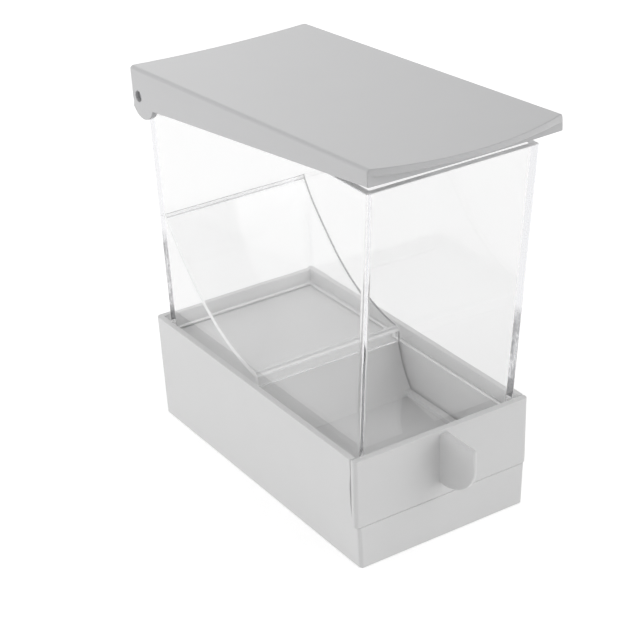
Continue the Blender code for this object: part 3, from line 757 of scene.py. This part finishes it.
def makePin(side, s):
    shank, shoulder, head, c = s["shankEnd"], s["shoulder"], s["headEnd"], s["chamfer"]
    line = [(shank, 0.0), (shank, s["shankRadius"] - c), (shank + c, s["shankRadius"]),
            (shoulder, s["shankRadius"]), (shoulder, s["headRadius"] - c),
            (shoulder + c, s["headRadius"]), (head - c, s["headRadius"]),
            (head, s["headRadius"] - c), (head, 0.0)]
    bm = bmesh.new()
    spots = [bm.verts.new((side * x, radius, 0.0)) for x, radius in line]
    outline = [bm.edges.new(pair) for pair in zip(spots, spots[1:])]
    bmesh.ops.spin(bm, geom=spots + outline, cent=(0, 0, 0), axis=(1, 0, 0), angle=math.tau,
                   steps=s["sides"], use_merge=True, use_duplicate=False)
    bmesh.ops.remove_doubles(bm, verts=bm.verts, dist=weld)
    bmesh.ops.recalc_face_normals(bm, faces=bm.faces)
    bmesh.ops.translate(bm, verts=bm.verts, vec=(0.0, hingeAxis["y"], hingeAxis["z"]))
    word = "left" if side < 0 else "right"
    finishPiece("pin_" + word, bm, [pinSteel], "housing", ["hinge_pin_" + word])


makeBase(baseSet)
makeDrawer(drawerSet, tabSet)
makeHopper(hopperSet)
makeRamp(rampSet, hopperSet)
makeLid(lidSet)
for pinSide in (-1, 1):
    makePin(pinSide, pinShape)
print("pieces made")


# Floor and light tent
stageSet = {
    "floorSize": 6.0, "floorDrop": 0.02 * mm, "floorColor": "#F4F4F4", "fibre": 2.0 * mm,
    "fibreHeight": 0.01 * mm, "liftDirect": 0.42, "liftThrough": 0.25, "liftMirrored": 0.75,
    "level": 0.487,
    # azimuth, elevation, spread in degrees, level
    "glows": [(180.0, 8.0, 65.0, 0.48), (-120.0, 8.0, 65.0, 0.46), (165.0, 6.0, 35.0, 0.55),
              (40.0, 12.0, 40.0, 1.40), (46.0, 48.0, 28.0, 0.7)],
    "lampSpot": (-0.35, 0.20, 0.10), "lampAim": (0.0, 0.02, 0.03), "lampSize": 0.30,
    "lampPower": 0.22,
}


def mattPaper(name, s):
    # Pale card that keeps the object's shadow; the camera, the clear plastic and reflections
    # show it lighter, and its light on matt faces stays that of plain card
    material, tree = startMaterial(name)
    place = addNode(tree, "ShaderNodeTexCoord").outputs["Object"]
    fibre = addNode(tree, "ShaderNodeTexNoise", inputs={
        "Vector": place, "Scale": 1.0 / s["fibre"], "Detail": 2.0})
    bump = addNode(tree, "ShaderNodeBump", inputs={
        "Height": fibre.outputs["Fac"], "Distance": s["fibreHeight"]})
    matt = addNode(tree, "ShaderNodeBsdfDiffuse", inputs={
        "Color": hexToLinear(s["floorColor"]), "Normal": bump.outputs["Normal"]})
    path = addNode(tree, "ShaderNodeLightPath").outputs
    lift = addNode(tree, "ShaderNodeMath", {"operation": "MULTIPLY"}, {
        0: path["Is Glossy Ray"], 1: s["liftMirrored"]}).outputs["Value"]
    for ray, amount in (("Is Transmission Ray", s["liftThrough"]),
                        ("Is Camera Ray", s["liftDirect"])):
        lift = addNode(tree, "ShaderNodeMix", {"data_type": "FLOAT"}, {
            0: path[ray], 2: lift, 3: amount}).outputs[0]
    shown = addNode(tree, "ShaderNodeEmission", inputs={"Color": (1, 1, 1, 1), "Strength": lift})
    total = addNode(tree, "ShaderNodeAddShader", inputs={
        0: matt.outputs["BSDF"], 1: shown.outputs["Emission"]})
    addNode(tree, "ShaderNodeOutputMaterial", inputs={"Surface": total.outputs["Shader"]})
    return material


def makeFloor(s):
    bm = bmesh.new()
    bmesh.ops.create_grid(bm, x_segments=1, y_segments=1, size=s["floorSize"] / 2)
    mesh = bpy.data.meshes.new("floor")
    bm.to_mesh(mesh)
    bm.free()
    floor = bpy.data.objects.new("floor", mesh)
    bpy.context.scene.collection.objects.link(floor)
    floor.location = (0, 0, -s["floorDrop"])
    mesh.materials.append(mattPaper("matt_paper", s))


def makeTent(s):
    # pale all round, brighter in broad soft areas behind, on the left and at the front right
    world = bpy.data.worlds.new("light_tent")
    bpy.context.scene.world = world
    world.use_nodes = True
    tree = world.node_tree
    tree.nodes.clear()
    place = addNode(tree, "ShaderNodeTexCoord").outputs["Generated"]
    level = s["level"]
    for azimuth, elevation, spread, strength in s["glows"]:
        facing = addNode(tree, "ShaderNodeVectorMath", {"operation": "DOT_PRODUCT"}, {
            0: place, 1: direction(azimuth, elevation)})
        area = addNode(tree, "ShaderNodeMapRange", {"interpolation_type": "SMOOTHSTEP"}, {
            "Value": facing.outputs["Value"], "From Min": math.cos(math.radians(spread)),
            "From Max": 1.0, "To Min": 0.0, "To Max": strength})
        level = addNode(tree, "ShaderNodeMath", {"operation": "ADD"}, {
            0: level, 1: area.outputs["Result"]}).outputs["Value"]
    path = addNode(tree, "ShaderNodeLightPath")
    shown = addNode(tree, "ShaderNodeMix", {"data_type": "FLOAT"}, {
        0: path.outputs["Is Camera Ray"], 2: level, 3: 1.0})
    glow = addNode(tree, "ShaderNodeBackground", inputs={
        "Color": (1, 1, 1, 1), "Strength": shown.outputs[0]})
    addNode(tree, "ShaderNodeOutputWorld", inputs={"Surface": glow.outputs["Background"]})


def makeLamp(s):
    data = bpy.data.lights.new("left_softbox", "AREA")
    data.shape = "SQUARE"
    data.size = s["lampSize"]
    data.energy = s["lampPower"]
    lamp = bpy.data.objects.new("left_softbox", data)
    bpy.context.scene.collection.objects.link(lamp)
    spot = Vector(s["lampSpot"])
    lamp.location = spot
    lamp.rotation_euler = (spot - Vector(s["lampAim"])).to_track_quat("Z", "Y").to_euler()


makeFloor(stageSet)
makeTent(stageSet)
makeLamp(stageSet)
bpy.context.scene.view_settings.view_transform = "Standard"
print("stage and light made")
